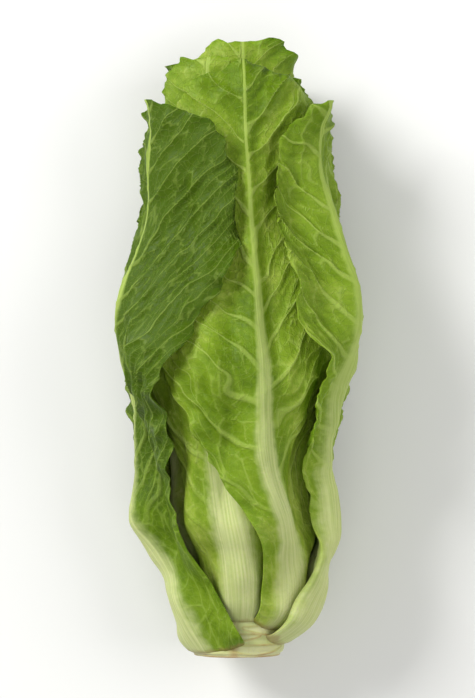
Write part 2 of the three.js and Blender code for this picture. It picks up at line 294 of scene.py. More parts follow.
def half_width(leaf, left, v):
    widest = widest_at(leaf, left, v)
    foot = np.minimum(np.where(left, *leaf.clasp), widest)
    wing = blend(foot, widest, smooth_step(v, WIDENING_FROM, WIDEST_AT))
    over = np.clip((v - WIDEST_AT) / (1 - WIDEST_AT), 0, 1)
    tip = widest * (1 - over**TIP_ROUNDNESS) ** (1 / TIP_ROUNDNESS)
    return np.where(v < WIDEST_AT, wing, tip)


def outside(leaf, s, v):
    """Distance outside a leaf's outline, 0 inside it. s is the width from the midrib."""
    left = s < 0
    sideways = np.maximum(np.abs(s) - half_width(leaf, left, np.clip(v, 0, WIDEST_AT)), 0)
    below = np.hypot(sideways, np.maximum(-v * leaf.length, 0))
    over = np.maximum((v - WIDEST_AT) / (1 - WIDEST_AT), 0)
    ellipse = over**TIP_ROUNDNESS + (np.abs(s) / widest_at(leaf, left, v)) ** TIP_ROUNDNESS
    from_middle = np.hypot(s, (v - WIDEST_AT) * leaf.length)
    above = from_middle * (1 - np.maximum(ellipse, 1) ** (-1 / TIP_ROUNDNESS))
    return np.where(v <= WIDEST_AT, below, above)


def width_from(leaf, angle, y):
    return turned_by(angle - midrib_angle(leaf, y)) * wrap_radius(leaf, y)


first_width = sum(half_width(leaves[0], left, WIDEST_AT) for left in (False, True))
print(f"the first leaf is {first_width:.0f} mm wide")

# %% [markdown]
# The midrib is thick and wide at the foot and thins out towards the tip, while the blade beside it stays
# under a millimetre. A leaf's bed is then the hollow in the middle of the heart plus the room that all the
# leaves further in take up. Nothing in this rule can make two leaves cross, which is why it is worth having.

# %% The bed that a leaf lies on
BLADE_THICKNESS, CLEARANCE = 0.8, 0.5
SIDE_FALL, TIP_FALL, TIP_FALL_FROM = 12, 26, 0.7  # how far outside its outline a leaf still lifts another
RIB_ROUNDNESS = 1.4
UNEVENNESS, UNEVEN_FROM = 1.1, (50, 110)
FOLDS, FOLD_TWIST, FOLD_SWELL = 3, 26, 19  # folds round the heart, and millimetres along it for a radian
COVER_EDGES = (5, 14)  # between these distances outside the edge of the leaf over it, a leaf comes free
STEM_PROFILE = [(0, 15.5), (10, 15), (25, 12), (45, 7.5), (60, 4.6)]
STEM_HEIGHT = 70
stem_radius = through([*STEM_PROFILE, (STEM_HEIGHT, 3)])
inner_radius = through([*STEM_PROFILE, (75, 4), (120, 7), (180, 11), (232, 14)])
air_gap = through([(0, 0.9), (15, 1.5), (35, 2.4), (60, 4.4), (100, 4.2), (150, 3.2), (190, 3.3),
                   (232, 3.2)])
rib_thickness = through([(0, 0.45), (0.05, 0.85), (0.12, 1), (0.3, 0.68), (0.55, 0.36), (0.8, 0.15),
                         (1, 0.05)])
rib_width = through([(0, 1.15), (0.08, 1.05), (0.2, 0.82), (0.4, 0.55), (0.7, 0.32), (1, 0.2)])


def rib_share(leaf, s, v):
    """0 on the midrib's crest, 1 where it has run out into the blade."""
    return np.abs(s) / (leaf.rib_half_width * rib_width(v))


def rib_height(leaf, s, v):
    across = np.minimum(rib_share(leaf, s, v), 1)
    return leaf.rib_thickness * rib_thickness(v) * np.cos(np.pi / 2 * across) ** RIB_ROUNDNESS


def room_for(leaf, angle, y):
    s, v = width_from(leaf, angle, y), along(leaf, y)
    fall = blend(SIDE_FALL, TIP_FALL, smooth_step(v, TIP_FALL_FROM, 1))
    held = 1 - smooth_step(outside(leaf, s, v) / fall, 0, 1)
    return held * (BLADE_THICKNESS + rib_height(leaf, s, np.clip(v, 0, 1)) + air_gap(y))


def bed_radius(leaf, angle, y):
    swell = UNEVENNESS * smooth_step(y, *UNEVEN_FROM)
    folds = swell * np.sin(FOLDS * angle + y / FOLD_TWIST) * np.sin(y / FOLD_SWELL + 1)
    radius = inner_radius(y) + CLEARANCE + folds
    return radius + sum(room_for(under, angle, y) for under in leaves[leaf.rank + 1 :])


def uncovered(leaf, angle, y):
    """1 where nothing lies over the leaf, 0 where a leaf covers it."""
    free = np.ones_like(y)
    for over in leaves[: leaf.rank]:
        free = free * smooth_step(outside(over, width_from(over, angle, y), along(over, y)), *COVER_EDGES)
    return free


print(f"the outermost leaf lies {bed_radius(leaves[0], leaves[0].turns[1], np.array(100.0)):.0f} mm out")

# %% [markdown]
# The heart's own weight flattens it. The packing is round, so a last step squeezes it: wider than high,
# pressed flat below, and lifted so that its underside meets the floor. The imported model's stem says where
# the packing's axis is in the shared frame.

# %% From the packing to the lying heart
WIDTH_FACTOR, HEIGHT_FACTOR = 1.06, 0.9
FLAT_SHARE, FLAT_SHARPNESS = 0.86, 8
PRESSED_DEPTH, RESTING_RANK = 2.4, 2
AXIS_POINTS = [(0, 25), (35, 26.6), (60, 29.8), (85, 31.6), (110, 33.4), (135, 30.6), (155, 26.6),
               (185, 25.4), (232, 25)]
axis_height = through(AXIS_POINTS)
stem_low, stem_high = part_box("cut_stem")
axis_x, cut_y = (stem_low.x + stem_high.x) / 2, stem_low.y


def lying(radius, angle, y):
    """The packing's places as points in metres, one row each."""
    down = np.maximum(-np.cos(angle), 0) / FLAT_SHARE
    pressed = radius * (1 + down**FLAT_SHARPNESS) ** (-1 / FLAT_SHARPNESS)
    x = pressed * np.sin(angle) * WIDTH_FACTOR
    z = axis_height(y) + pressed * np.cos(angle) * HEIGHT_FACTOR
    return np.stack([axis_x + x * MM, cut_y + y * MM, z * MM], axis=-1)


print("the axis starts at", [round(float(n), 4) for n in lying(0.0, 0.0, 0.0)])

# %% [markdown]
# ## Random bumps and cells
# Nature repeats nothing exactly. Two small tools give that: soft bumps, about one to a unit square, and the
# borders between random cells, which look like the net of small veins in a leaf. Both read a table of
# seeded random numbers, so they come out the same each time. SEEDS gives each kind of bump its own table.

# %% Soft bumps and cell borders
TABLE_SIZE = 64
SEEDS = dict(wander=0, small_wander=50, net=90, swell=130, pucker=170, frill=210, tip_frill=250,
             fine_frill=290, tooth=330, scallop=370, cut_face=400, stem_side=410)
FAR = 9.0  # stands for far away
CELL_MIDDLES = (0.1, 0.9)  # the stretch of its square in which a cell's middle may lie


def soft_bumps(x, y, seed):
    """Smooth random heights between -1 and 1, about one bump to a unit square."""
    table = np.random.default_rng(seed).uniform(-1, 1, (TABLE_SIZE, TABLE_SIZE))
    column, row = np.floor(x).astype(int), np.floor(y).astype(int)
    across, up = smooth_step(x - column, 0, 1), smooth_step(y - row, 0, 1)
    corner = [[table[(row + j) % TABLE_SIZE, (column + i) % TABLE_SIZE] for i in (0, 1)] for j in (0, 1)]
    return blend(blend(*corner[0], across), blend(*corner[1], across), up)


def cell_borders(x, y, seed):
    """0 on the borders between random cells about a unit across, and up to 1 inside them."""
    places = np.random.default_rng(seed).uniform(*CELL_MIDDLES, (2, TABLE_SIZE, TABLE_SIZE))
    column, row = np.floor(x).astype(int), np.floor(y).astype(int)
    nearest, second = np.full(x.shape, FAR), np.full(x.shape, FAR)
    for i in (-1, 0, 1):
        for j in (-1, 0, 1):
            place_x, place_y = places[:, (row + j) % TABLE_SIZE, (column + i) % TABLE_SIZE]
            distance = np.hypot(column + i + place_x - x, row + j + place_y - y)
            second = np.minimum(second, np.maximum(nearest, distance))
            nearest = np.minimum(nearest, distance)
    return second - nearest


print("bumps from", soft_bumps(np.arange(0, 60, 0.7), np.arange(0, 60, 0.7), 1).min().round(2))

# %% [markdown]
# ## Veins
# Side veins leave the midrib in turn to the left and right, climb steeply and curve up towards the margin.
# Each place on the blade gets a vein number: whole on a vein, and halfway between two of them. Every side
# vein forks once on its way out, so the space between two veins has a branch that starts at one of them
# and ends midway. Smaller veins make a net of cells in between.

# %% Number the veins
VEIN_COUNT = 13  # side veins on each side of a leaf as long as VEINED_LENGTH
VEINED_LENGTH = 206
VEIN_CLIMB, VEIN_CURVE = 0.9, 0.011  # up for each millimetre sideways, at the midrib and more further out
FORK_FROM, FORK_REACH = (5, 20), 18  # where side veins fork, and how far on the branch runs midway
VEIN_CROWDING = 1.12  # above 1, the veins stand closer together towards the tip
WANDER, WANDER_LENGTH = 0.38, 17  # in vein numbers, and over how many millimetres
SMALL_WANDER, SMALL_LENGTH = 0.14, 6
LEFT_VEINS, NEXT_LEAF_VEINS = 0.45, 0.37  # how much higher the numbers are at the left and a leaf on
LEFT_FORK, LEFT_NET = 4, 31  # how much later a left vein forks, and how much further its net starts
BRANCH_SHALLOWER = 0.12  # a branch is less sharp than a side vein
CELL_ACROSS, CELL_ALONG = 0.36, 7.5  # a net cell in vein numbers, and in millimetres along a vein


def leaf_bumps(leaf, across, up, seed):
    return soft_bumps(across, up, leaf.rank + SEEDS[seed])


def vein_number(leaf, s, t):
    root = t - VEIN_CLIMB * np.abs(s) - VEIN_CURVE * s * s
    count = VEIN_COUNT * leaf.length / VEINED_LENGTH
    number = count * np.sign(root) * np.abs(root / leaf.length) ** VEIN_CROWDING
    wander = WANDER * leaf_bumps(leaf, s / WANDER_LENGTH, t / WANDER_LENGTH, "wander")
    wander = wander + SMALL_WANDER * leaf_bumps(leaf, s / SMALL_LENGTH, t / SMALL_LENGTH, "small_wander")
    return number + wander + np.where(s < 0, LEFT_VEINS, 0) + NEXT_LEAF_VEINS * leaf.rank


def branch_number(leaf, s, number):
    """0 on a side vein's branch."""
    forks = np.random.default_rng(leaf.rank).uniform(*FORK_FROM, TABLE_SIZE)
    place = forks[np.floor(number).astype(int) % TABLE_SIZE] + np.where(s < 0, LEFT_FORK, 0)
    reached = smooth_step((np.abs(s) - place) / FORK_REACH, 0, 1)
    return number - np.floor(number) - 0.5 * reached + np.where(reached > 0, 0, FAR)


def net_of(leaf, s, number):
    up = np.abs(s) / CELL_ALONG + np.where(s < 0, LEFT_NET, 0)
    return cell_borders(number / CELL_ACROSS, up, leaf.rank + SEEDS["net"])


def from_vein(number, branch):
    """0 on a side vein or a branch, and 1 in the middle between them."""
    from_main = 1 - np.abs(2 * (number - np.floor(number)) - 1)
    return np.minimum(from_main, np.minimum(2 * np.abs(branch), 1) + BRANCH_SHALLOWER)


last_vein = vein_number(leaves[0], np.array([1.0]), np.array([leaves[0].length]))
print("vein numbers on the first midrib end at", last_vein.round(1))

# %% [markdown]
# ## Puckers and frills
# On the outside of a leaf the veins stand proud, and the blade sinks between them, most where it is broad.
# A free margin has grown faster than the blade inside it, so it has to frill, and it is scalloped and
# finely toothed too. Where another leaf covers it, a leaf is held smoother. All of this could be sculpted
# by hand, but a formula does it for eighteen leaves, and follows the vein numbers.

# %% The relief of a blade
PUCKER_DEPTH, NET_DEPTH, NET_EDGE, VEIN_RIDGE = 1.7, 1.0, 0.6, 0.35
PUCKER_RISE, PUCKER_SLOPE, PUCKER_POWER = 1.1, 1.25, 0.8  # the veins' height, and how steeply a pucker sinks
PUCKER_SHARE, PUCKER_SPREAD, PUCKER_PATCH = 0.8, 0.45, 12  # usual share of the depth, and how it varies
BESIDE_RIB, ABOVE_FOOT = (0.6, 1.9), (0.12, 0.42)  # where puckers begin, in rib widths and in leaf lengths
SWELL_HEIGHT, SWELL_WIDTH, SWELL_LENGTH, SWELL_FROM = 1.0, 13, 18, (0.2, 0.4)
FRILL_HEIGHT, FRILL_REACH, FRILL_LENGTH, FRILL_WIDTH = 3.6, 6.5, 6.5, 26
FRILL_FULLNESS, FRILL_OUTWARD = 1.5, 0.3  # how full its swings are, and how much more it swings out than in
FRILL_FROM, TIP_FRILL_FROM = (0.14, 0.4), (0.78, 0.96)
FINE_FRILL, FINE_FRILL_LENGTH = 0.3, 3.2
SCALLOP_DEPTH, SCALLOP_LENGTH, SCALLOP_REACH = 2.4, 9.0, 7
TOOTH_DEPTH, TOOTH_LENGTH, TOOTH_REACH = 1.0, 2.6, 2


def blade_relief(leaf, s, t, away, net):
    """How far the blade rises or sinks, in millimetres, away from the midrib."""
    v = t / leaf.length
    broad = smooth_step(rib_share(leaf, s, np.clip(v, 0, 1)), *BESIDE_RIB) * smooth_step(v, *ABOVE_FOOT)
    sunk = PUCKER_DEPTH * np.sin(np.pi / 2 * np.clip(away * PUCKER_SLOPE, 0, 1)) ** PUCKER_POWER
    sunk = sunk + NET_DEPTH * smooth_step(net, 0, NET_EDGE)
    swell = SWELL_HEIGHT * leaf_bumps(leaf, s / SWELL_WIDTH, t / SWELL_LENGTH, "swell")
    depth = PUCKER_SHARE + PUCKER_SPREAD * leaf_bumps(leaf, s / PUCKER_PATCH, t / PUCKER_PATCH, "pucker")
    return broad * (PUCKER_RISE - sunk * depth) + swell * smooth_step(v, *SWELL_FROM)


def frill(leaf, s, t, rim):
    """How far the margin swings out and in. rim is the distance from the margin."""
    v = t / leaf.length
    near_tip = smooth_step(v, *TIP_FRILL_FROM)
    beside = leaf_bumps(leaf, s / FRILL_WIDTH, t / FRILL_LENGTH, "frill")
    above = leaf_bumps(leaf, s / FRILL_LENGTH, t / FRILL_WIDTH, "tip_frill")
    fine = leaf_bumps(leaf, s / FINE_FRILL_LENGTH, t / FINE_FRILL_LENGTH, "fine_frill")
    swing = np.clip(FRILL_FULLNESS * blend(beside, above, near_tip), -1, 1) + FINE_FRILL * fine
    fading = np.exp(-rim / FRILL_REACH) * smooth_step(v, *FRILL_FROM)
    return FRILL_HEIGHT * (swing + FRILL_OUTWARD) * fading


def margin_shift(leaf, s, t, rim):
    """How far the margin reaches beyond its smooth outline, in the plane of the blade."""
    scallop = SCALLOP_DEPTH * leaf_bumps(leaf, s / SCALLOP_LENGTH, t / SCALLOP_LENGTH, "scallop")
    tooth = TOOTH_DEPTH * leaf_bumps(leaf, s / TOOTH_LENGTH, t / TOOTH_LENGTH, "tooth")
    return scallop * np.exp(-rim / SCALLOP_REACH) + tooth * np.exp(-rim / TOOTH_REACH)


print("a frill swings by up to", FRILL_HEIGHT, "mm")

# %% [markdown]
# ## A leaf as a mesh
# A leaf could be sculpted, or cut from a plane with the knife. Here it starts as a flat grid, and Solidify
# gives it a second face, so that it is a closed sheet from the start. Then each point is moved once: across
# and up in the flat grid become the place beside the midrib and along it, and the packing says where that
# is in space. What the finish needs, such as the vein number, is kept on the points as attributes.

# %% Lay a grid out over a leaf
TIP_BOW = 0.2
MARGIN_FROM, TIP_MARGIN_FROM = (0.15, 0.4), (0.85, 1)  # where the margin starts to be scalloped
WAVE_LENGTH, WAVE_LENGTH_SPREAD, WAVE_TURN = 34, 3, 2.4  # the waves differ from leaf to leaf
WAVE_FROM, WAVE_POWER = 0.4, 1.5
WAVE_MIDDLE, WAVE_SWING = 0.55, 0.45
TIP_WAVE_FROM, TIP_WAVES = 0.84, 5.5


def top_place(leaf, u, left):
    """How far up the leaf the top row of the grid comes to lie."""
    shoulder = 1 - TIP_BOW
    share = np.abs(u) * half_width(leaf, left, shoulder) / widest_at(leaf, left, shoulder)
    return WIDEST_AT + (1 - WIDEST_AT) * (1 - share**TIP_ROUNDNESS) ** (1 / TIP_ROUNDNESS)


def lay_out(leaf, u, v):
    """Where the grid's points lie on the flat leaf, as a share of its length and in millimetres."""
    left = u < 0
    bow = v**3
    place = v - (1 - top_place(leaf, u, left)) * bow
    width = half_width(leaf, left, v - TIP_BOW * bow)
    rim = np.minimum((1 - np.abs(u)) * width, (1 - v) * leaf.length)
    shift = margin_shift(leaf, u * width, place * leaf.length, rim)
    s = u * (width + shift * smooth_step(place, *MARGIN_FROM))
    t = place * leaf.length + shift * smooth_step(place, *TIP_MARGIN_FROM)
    return place, s, t, rim


def wave_out(leaf, u, v, y, free):
    tip = smooth_step(v, TIP_WAVE_FROM, 1)
    edge = np.maximum(smooth_step(np.abs(u), WAVE_FROM, 1) ** WAVE_POWER, tip)
    wave_length = WAVE_LENGTH + WAVE_LENGTH_SPREAD * np.sin(leaf.rank)
    beside = np.sin(2 * np.pi * y / wave_length + WAVE_TURN * leaf.rank + np.sign(u))
    above = np.sin(TIP_WAVES * u + WAVE_TURN * leaf.rank)
    return free * leaf.wave * edge * (WAVE_MIDDLE + WAVE_SWING * blend(beside, above, tip))


print(f"the margins wave out by up to {max(leaf.wave for leaf in leaves)} mm")

# %% Place every point of a leaf
STEM_CLEARANCE = 0.35
FOOT_ROUND = 9.0  # over this length the foot swells out of the stem
FOOT_RISE, FOOT_RISE_TO = 4.0, 0.12  # the foot's ends sit this much higher, up to this share of the leaf
COVERED_RELIEF = 0.45  # how much of its relief a leaf keeps where another one covers it
EDGE_THINNING, THINNING_REACH = 0.45, 3
RIDGE_WIDTH = 0.25
SLIM_TIP, SLIM_FROM = 0.35, 0.35  # how much of the midrib's pale width is left at the tip, and from where
FOOT_GREEN, COVERED_GREEN, TIP_GREEN = 0.6, 0.7, 0.12
GREENING, TIP_GREENING = (0.02, 0.5), (0.82, 1)
NEXT_LEAF_UP = 300  # the skin's patterns go on this much further up on the next leaf


def press_flat(points, outer):
    """Presses the underside of the resting leaf down onto the surface."""
    low = outer * (1 - smooth_step(points[:, 2], PRESSED_DEPTH * MM, 2 * PRESSED_DEPTH * MM))
    points[:, 2] -= low * np.minimum(points[:, 2], PRESSED_DEPTH * MM)


def green_of(leaf, place, free):
    shade = leaf.green * blend(FOOT_GREEN, 1, smooth_step(place, *GREENING)) * blend(COVERED_GREEN, 1, free)
    return shade + TIP_GREEN * free * smooth_step(place, *TIP_GREENING)


def pale_width(leaf, place):
    return leaf.pale * blend(1, SLIM_TIP, smooth_step(place, SLIM_FROM, 1))


def place_points(leaf, u, v, outer):
    """Points of the leaf and what its finish reads. outer is 1 on the outside and 0 on the inside."""
    place, s, t, rim = lay_out(leaf, u, v)
    y = leaf.start + t + FOOT_RISE * u * u * (1 - smooth_step(v, 0, FOOT_RISE_TO))
    angle = midrib_angle(leaf, y) + s / wrap_radius(leaf, y)
    free = uncovered(leaf, angle, y)
    number = vein_number(leaf, s, t)
    branch = branch_number(leaf, s, number)
    net = net_of(leaf, s, number)
    away = from_vein(number, branch)
    loose = blend(COVERED_RELIEF, 1, free)
    relief = loose * blade_relief(leaf, s, t, away, net) + free * frill(leaf, s, t, rim)
    bed = bed_radius(leaf, angle, y) + wave_out(leaf, u, v, y, free)
    blade = BLADE_THICKNESS * blend(EDGE_THINNING, 1, smooth_step(rim, 0, THINNING_REACH))
    ridge = VEIN_RIDGE * (1 - smooth_step(away, 0, RIDGE_WIDTH)) * smooth_step(place, *MARGIN_FROM)
    radius = bed + relief + outer * (blade + ridge + rib_height(leaf, s, np.clip(place, 0, 1)))
    swelling = np.sqrt(1 - (1 - np.clip(t / FOOT_ROUND, 0, 1)) ** 2)
    on_stem = stem_radius(y) + STEM_CLEARANCE * (1 + outer)
    points = lying(blend(on_stem, radius, swelling), angle, y)
    if leaf.rank == RESTING_RANK:
        press_flat(points, outer)
    points[:, 2] = np.maximum(points[:, 2], (1 - outer) * 0.5 * BLADE_THICKNESS * MM)
    return points, dict(rib=rib_share(leaf, s, place) / pale_width(leaf, place), vein=number, branch=branch,
                        net=net, green=green_of(leaf, place, free), along=place, foot=t, beside=s,
                        up=t + NEXT_LEAF_UP * leaf.rank)


print(f"leaf {RESTING_RANK + 1} is pressed flat by up to {PRESSED_DEPTH} mm")

# %% Build a leaf
GRID = {"outer": (100, 230), "middle": (60, 130), "inner": (40, 80)}  # columns and rows
SHEET_DEPTH = 0.1  # between the grid's two faces, before their points are placed


def ring_of(rank):
    if rank < len(OUTER_LEAVES):
        return "outer"
    return "middle" if rank < len(OUTER_LEAVES) + MIDDLE_LEAVES else "inner"


def finish_mesh(piece, points, reads):
    """Moves all the points of a piece, and stores what its finish reads."""
    piece.data.vertices.foreach_set("co", points.ravel())
    for attribute, values in reads.items():
        piece.data.attributes.new(attribute, "FLOAT", "POINT").data.foreach_set("value", values)
    for layer in list(piece.data.uv_layers):
        piece.data.uv_layers.remove(layer)
    bpy.ops.object.shade_smooth()


def build_leaf(leaf, name, columns, rows):
    bpy.ops.object.select_all(action="DESELECT")
    bpy.ops.mesh.primitive_grid_add(x_subdivisions=columns, y_subdivisions=rows, size=2)
    sheet = bpy.context.object
    sheet.name = sheet.data.name = name
    second_face = sheet.modifiers.new("second_face", "SOLIDIFY")
    second_face.thickness = SHEET_DEPTH
    bpy.ops.object.modifier_apply(modifier=second_face.name)
    flat = np.empty(len(sheet.data.vertices) * 3)
    sheet.data.vertices.foreach_get("co", flat)
    u, v, height = flat.reshape(-1, 3).T
    points, reads = place_points(leaf, u, (v + 1) / 2, (height > -SHEET_DEPTH / 2).astype(float))
    finish_mesh(sheet, points, reads)
    return sheet


print("columns and rows of a leaf's grid:", GRID)

# %% [markdown]
# ## Shader helpers
# A finish is easier to read as a formula than as a web of boxes. These helpers add one shader node each and
# hand back its output, so that nodes can be nested like functions.

# %% One node each
def add_node(material, kind, settings, inputs, output=0):
    """Adds a shader node. An input is a value, or another node's output to link."""
    node = material.node_tree.nodes.new("ShaderNode" + kind)
    for name, value in settings.items():
        setattr(node, name, value)
    for name, value in inputs.items():
        if isinstance(value, bpy.types.NodeSocket):
            material.node_tree.links.new(value, node.inputs[name])
        else:
            node.inputs[name].default_value = value
    return node.outputs[output]


def read(material, attribute):
    return add_node(material, "Attribute", {"attribute_name": attribute}, {}, "Fac")


def calculate(material, operation, *values):
    return add_node(material, "Math", {"operation": operation}, dict(enumerate(values)))


def step_up(material, value, low, high, start=0.0, end=1.0):
    """start below low, end above high, and smooth between them."""
    limits = {"Value": value, "From Min": low, "From Max": high, "To Min": start, "To Max": end}
    return add_node(material, "MapRange", {"interpolation_type": "SMOOTHSTEP"}, limits)


def mix_colours(material, share, first, second):
    colours = {0: share, 6: first, 7: second}
    return add_node(material, "Mix", {"data_type": "RGBA"}, colours, 2)


def mottle(material, place, scale, detail=3.0):
    return add_node(material, "TexNoise", {}, {"Vector": place, "Scale": scale, "Detail": detail}, "Fac")


def new_finish(name, roughness, **settings):
    material = bpy.data.materials.new(name)
    material.use_nodes = True
    shader = material.node_tree.nodes["Principled BSDF"]
    shader.inputs["Roughness"].default_value = roughness
    for socket, value in settings.items():
        shader.inputs[socket.replace("_", " ")].default_value = value
    return material, shader


def link(material, output, shader, socket):
    material.node_tree.links.new(output, shader.inputs[socket])


def add_bump(material, shader, height, strength, depth):
    shape = {"Height": height, "Strength": strength, "Distance": depth}
    link(material, add_node(material, "Bump", {}, shape, "Normal"), shader, "Normal")


helpers = (read, calculate, step_up, mix_colours, mottle)
print("helpers for formulas:", ", ".join(helper.__name__ for helper in helpers))

# %% [markdown]
# ## The skin of a leaf
# On the real leaf, chlorophyll lies in the blade and hardly any in the veins, so veins and midrib are pale
# cream-green. The blade goes from yellow-green by the foot to dark green above. The finish reads the leaf's
# attributes, so its veins run exactly where the relief has them. A fine net and long fibres come from
# textures that are laid out over the leaf's own width and length.

# %% Finish of a leaf
SKIN_STOPS = {  # how green the leaf is there: colour of the blade, linear
    0.0: (0.56, 0.60, 0.19),
    0.25: (0.335, 0.43, 0.06),
    0.5: (0.185, 0.29, 0.015),
    0.75: (0.112, 0.198, 0.003),
    1.0: (0.056, 0.108, 0.001),
}
RIB_FOOT = (0.56, 0.60, 0.27, 1)
RIB_ALOFT = (0.34, 0.45, 0.085, 1)
SCAR_BROWN = (0.30, 0.17, 0.07, 1)
VEIN_WIDTHS = (0.13, 0.035)  # in vein numbers, beside the midrib and far out
VEIN_CONTRAST = (0.8, 0.34)  # how much paler veins are than the blade, on a pale leaf and on a green one
FIBRES = (1.6, 0.035, 1)  # to a millimetre across the midrib and along it
PATCHES, SPECKS, SKIN_GRAIN = 0.07, 0.5, 0.9  # about as many to a millimetre
# the cell swing is painted shade: the middle of each net cell, where the blade sinks into a pucker, is made
# greener and darker
PATCH_SWING, SPECK_SWING, CELL_SHADE_SWING = 0.6, 0.36, 0.16  # in steps of green
LEAF_GLOSS = (0.42, 0.6)  # roughness, where it is glossiest and dullest
LEAF_BUMP, LEAF_BUMP_DEPTH = 0.7, 0.0007


def leaf_place(material):
    """Place on the leaf in millimetres: beside the midrib and up along it."""
    place = {"X": read(material, "beside"), "Y": read(material, "up")}
    return add_node(material, "CombineXYZ", {}, place)


def around_zero(material, pattern, swing):
    """A pattern between 0 and 1, made to swing as far below 0 as above it."""
    return calculate(material, "MULTIPLY_ADD", pattern, swing, -swing / 2)


def blade_colour(material, place):
    """Greener and darker in the middle of each cell of the net, a painted shade of the sunk puckers, and in
    large soft patches.
    """
    patches = around_zero(material, mottle(material, place, PATCHES), PATCH_SWING)
    specks = around_zero(material, mottle(material, place, SPECKS), SPECK_SWING)
    # painted shade: darker green in the middle of each net cell, where the pucker sinks
    cells = around_zero(material, read(material, "net"), CELL_SHADE_SWING)
    uneven = calculate(material, "ADD", cells, calculate(material, "ADD", patches, specks))
    green = calculate(material, "ADD", read(material, "green"), uneven)
    ramp = add_node(material, "ValToRGB", {}, {"Fac": green})
    stops = ramp.node.color_ramp.elements
    for (level, colour), stop in zip(SKIN_STOPS.items(), [stops[0], stops[1]]):
        stop.position = level
        stop.color = (*colour, 1)
    for level, colour in list(SKIN_STOPS.items())[2:]:
        stops.new(level).color = (*colour, 1)
    return ramp


def line_mask(material, away, half_width):
    """1 where away is 0, and 0 from half_width on."""
    full = calculate(material, "MULTIPLY", half_width, 0.35)
    return step_up(material, away, full, half_width, 1.0, 0.0)


def vein_masks(material, place):
    """The side veins, the net between them and the finest net, each 1 on a vein and 0 off it."""
    width = step_up(material, read(material, "rib"), 1.0, 5.0, *VEIN_WIDTHS)
    main = line_mask(material, calculate(material, "PINGPONG", read(material, "vein"), 0.5), width)
    branch = calculate(material, "ABSOLUTE", read(material, "branch"))
    branch = line_mask(material, branch, calculate(material, "MULTIPLY", width, 0.75))
    side = calculate(material, "MAXIMUM", main, calculate(material, "MULTIPLY", branch, 0.7))
    net = step_up(material, read(material, "net"), 0.02, 0.14, 1.0, 0.0)
    wavy = calculate(material, "MULTIPLY", mottle(material, place, 0.4), 2.0)
    shifted = add_node(material, "VectorMath", {"operation": "ADD"}, {0: place, 1: wavy})
    cells = add_node(material, "TexVoronoi", {"feature": "DISTANCE_TO_EDGE", "voronoi_dimensions": "2D"},
                     {"Vector": shifted, "Scale": 0.42}, "Distance")
    fine = step_up(material, cells, 0.01, 0.09, 1.0, 0.0)
    return side, net, fine


print(f"{len(SKIN_STOPS)} stops take the skin from cream to dark green")

# %% [markdown]
# The colour is laid on in the order in which it is seen: the blade, its finest net, the net, the side veins,
# the midrib over them and the brown along the foot. The same masks raise the veins a little, for the light.

# %% Colours and bumps of a leaf
def veined_colour(material, up_leaf, blade, side, net, fine):
    contrast = step_up(material, read(material, "green"), 0.3, 1.0, *VEIN_CONTRAST)
    paler = mix_colours(material, 0.6, blade, RIB_ALOFT)
    veined = mix_colours(material, calculate(material, "MULTIPLY", fine, 0.2), blade, paler)
    veined = mix_colours(material, calculate(material, "MULTIPLY", net, contrast), veined, paler)
    side_share = calculate(material, "MULTIPLY", calculate(material, "MULTIPLY", side, contrast),
                           step_up(material, up_leaf, 0.1, 0.4))
    return mix_colours(material, side_share, veined, RIB_ALOFT)


def midrib_colour(material, up_leaf, blade, streaks):
    """Cream at the foot and green aloft, with darker fibres."""
    tone = mix_colours(material, step_up(material, up_leaf, 0.05, 0.75), RIB_FOOT, RIB_ALOFT)
    darker = mix_colours(material, 0.4, tone, blade)
    return mix_colours(material, step_up(material, streaks, 0.35, 0.7), tone, darker)


def with_brown_foot(material, place, colour):
    """The first millimetres of a leaf have dried brown, by a ragged line."""
    dried = calculate(material, "MULTIPLY_ADD", mottle(material, place, 0.35), 3.0, -1.1)
    above = calculate(material, "SUBTRACT", read(material, "foot"), dried)
    brown = step_up(material, above, 0.0, 1.6, 0.5, 0.0)
    return mix_colours(material, brown, colour, SCAR_BROWN)


def skin_height(material, place, up_leaf, rib, streaks, side, net, fine):
    """Veins off the midrib, fibres on it, and a fine grain over all."""
    height = calculate(material, "MULTIPLY_ADD", side, 0.5, calculate(material, "MULTIPLY", net, 0.35))
    fine_share = step_up(material, up_leaf, 0.25, 0.6, 0.08, 0.28)
    height = calculate(material, "MULTIPLY_ADD", fine, fine_share, height)
    height = calculate(material, "MULTIPLY", height, step_up(material, rib, 0.5, 1.2))
    height = calculate(material, "MULTIPLY_ADD", streaks, 0.35, height)
    return calculate(material, "MULTIPLY_ADD", mottle(material, place, SKIN_GRAIN), 0.35, height)


def leaf_finish(name):
    material, shader = new_finish(name, 0.45, Subsurface_Weight=0.18, Subsurface_Scale=0.002,
                                  Subsurface_Radius=(0.6, 1.0, 0.2), Specular_IOR_Level=0.15)
    place, up_leaf = leaf_place(material), read(material, "along")
    side, net, fine = vein_masks(material, place)
    fibres = add_node(material, "VectorMath", {"operation": "MULTIPLY"}, {0: place, 1: FIBRES})
    streaks = mottle(material, fibres, 1.0, 4.0)
    ragged = around_zero(material, mottle(material, place, 0.22), 0.5)
    rib = calculate(material, "ADD", read(material, "rib"), ragged)
    blade = blade_colour(material, place)
    veined = veined_colour(material, up_leaf, blade, side, net, fine)
    midrib = midrib_colour(material, up_leaf, blade, streaks)
    colour = mix_colours(material, step_up(material, rib, 0.4, 0.95), midrib, veined)
    link(material, with_brown_foot(material, place, colour), shader, "Base Color")
    height = skin_height(material, place, up_leaf, rib, streaks, side, net, fine)
    add_bump(material, shader, height, LEAF_BUMP, LEAF_BUMP_DEPTH)
    gloss = step_up(material, mottle(material, place, 0.16), 0.3, 0.7, *LEAF_GLOSS)
    link(material, gloss, shader, "Roughness")
    return material


print("a leaf's gloss varies between roughness", *LEAF_GLOSS)

# %% [markdown]
# ## All the leaves
# The leaves are built from the outside in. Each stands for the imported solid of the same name, rides on the
# heart's one body and takes its finish from the slot of its ring.

